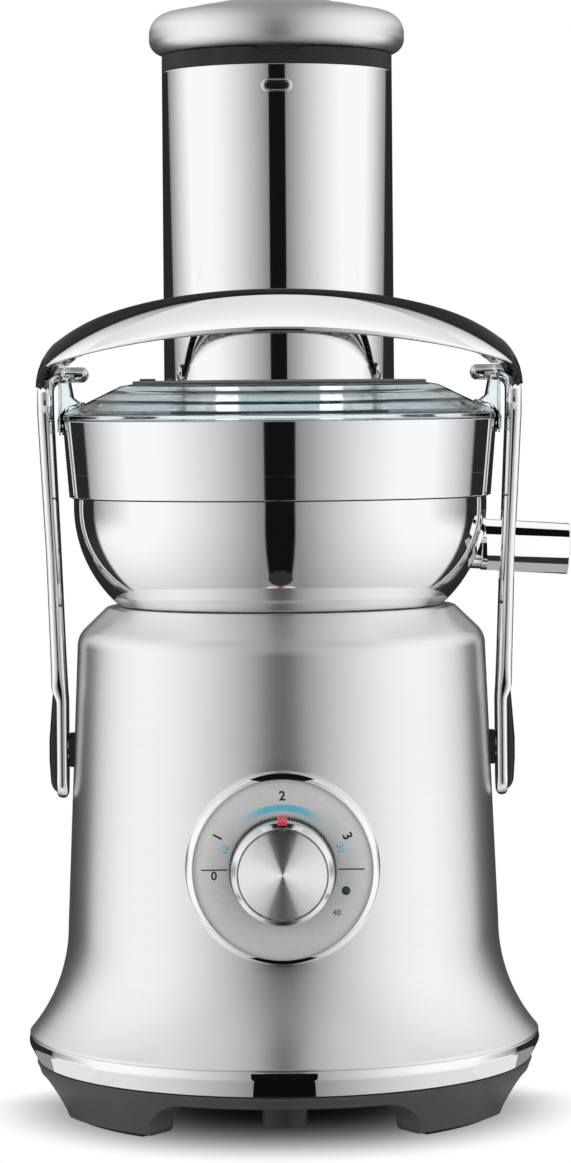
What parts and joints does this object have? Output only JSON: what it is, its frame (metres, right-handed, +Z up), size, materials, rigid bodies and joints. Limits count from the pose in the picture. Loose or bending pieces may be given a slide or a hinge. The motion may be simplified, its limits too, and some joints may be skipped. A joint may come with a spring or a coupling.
{
  "type": "centrifugal juicer",
  "caption": "Upright steel centrifugal juicer with a side spout, a wide feed chute with a pusher, a speed dial and a locking arm.",
  "frame": {"origin": "on the spin axis, in the plane that the four feet stand on", "axes": "+Z up along the spin axis, the dial faces -Y, the juice spout leaves towards +X"},
  "size_m": [0.2272, 0.24, 0.457],
  "materials": {
    "brushed_steel": "satin",
    "chrome": "polished",
    "base_plastic": "matt",
    "rubber": "matt",
    "machined_steel": "machined",
    "black_plastic": "matt",
    "cast_aluminium": "cast",
    "lamination": "laminated",
    "copper": "enamelled",
    "brass": "satin",
    "carbon": "matt",
    "nylon": "satin",
    "board": "satin",
    "silver_plastic": "satin",
    "green_lens": "gloss",
    "satin_aluminium": "satin",
    "grip_plastic": "knurled",
    "red_plastic": "gloss",
    "black_gloss": "gloss",
    "polished_steel": "polished",
    "smoked_plastic": "satin",
    "grey_plastic": "satin",
    "mesh_steel": "perforated",
    "clear_plastic": "clear",
    "liner_plastic": "satin"
  },
  "bodies": {
    "base": {"housing_shell": "brushed_steel", "base_ring": "chrome", "base_pan": "base_plastic", "foot_pads": "rubber", "cord_gland": "rubber", "base_screws": "machined_steel", "top_deck": "black_plastic", "deck_nuts": "machined_steel", "motor_bracket": "cast_aluminium", "motor_grommets": "rubber", "motor_screws": "machined_steel", "stator_core": "lamination", "stator_windings": "copper", "motor_end_cap": "cast_aluminium", "motor_bolts": "machined_steel", "brush_holders": "brass", "carbon_brushes": "carbon", "brush_springs": "machined_steel", "upper_bearing": "machined_steel", "lower_bearing": "machined_steel", "shaft_seal": "rubber", "control_board": "board", "board_screws": "machined_steel", "speed_selector": "black_plastic", "selector_nut": "machined_steel", "dial_bezel": "chrome", "dial_plate": "silver_plastic", "status_lens": "green_lens", "pivot_bosses": "black_plastic", "pivot_pins": "machined_steel", "safety_switch": "black_plastic", "bowl_shell": "polished_steel", "bowl_band": "polished_steel", "bowl_liner": "smoked_plastic", "juice_spout": "chrome", "clear_cover": "clear_plastic", "cover_collar": "grey_plastic", "chute_liner": "liner_plastic", "chute_sleeve": "polished_steel"},
    "arm": {"arm_straps": "chrome", "arm_crown": "chrome", "arm_grip": "black_gloss", "arm_inserts": "black_gloss", "locking_pins": "chrome"},
    "pusher": {"pusher_body": "smoked_plastic", "pusher_cap": "satin_aluminium"},
    "rotor": {"rotor_core": "lamination", "rotor_windings": "copper", "commutator": "copper", "motor_shaft": "machined_steel", "cooling_fan": "nylon", "drive_coupling": "black_plastic", "basket_frame": "grey_plastic", "filter_mesh": "mesh_steel", "grating_disc": "machined_steel"},
    "dial": {"selector_shaft": "machined_steel", "knob_body": "satin_aluminium", "knob_face": "satin_aluminium", "knob_grip_ring": "grip_plastic", "knob_marker": "red_plastic"}
  },
  "joints": [
    {"name": "arm_swing", "type": "hinge", "parent": "base", "child": "arm", "pos_m": [0, 0, 0.1476], "axis": [1, 0, 0], "range_deg": [0, 105]},
    {"name": "pusher_lift", "type": "slide", "parent": "base", "child": "pusher", "axis": [0, 0, 1], "range_m": [0, 0.16]},
    {"name": "basket_spin", "type": "hinge", "parent": "base", "child": "rotor", "pos_m": [0, 0, 0.2], "axis": [0, 0, 1], "continuous": true},
    {"name": "speed_turn", "type": "hinge", "parent": "base", "child": "dial", "pos_m": [0, -0.1, 0.1084], "axis": [0, 1, 0], "range_deg": [-90, 64]}
  ]
}
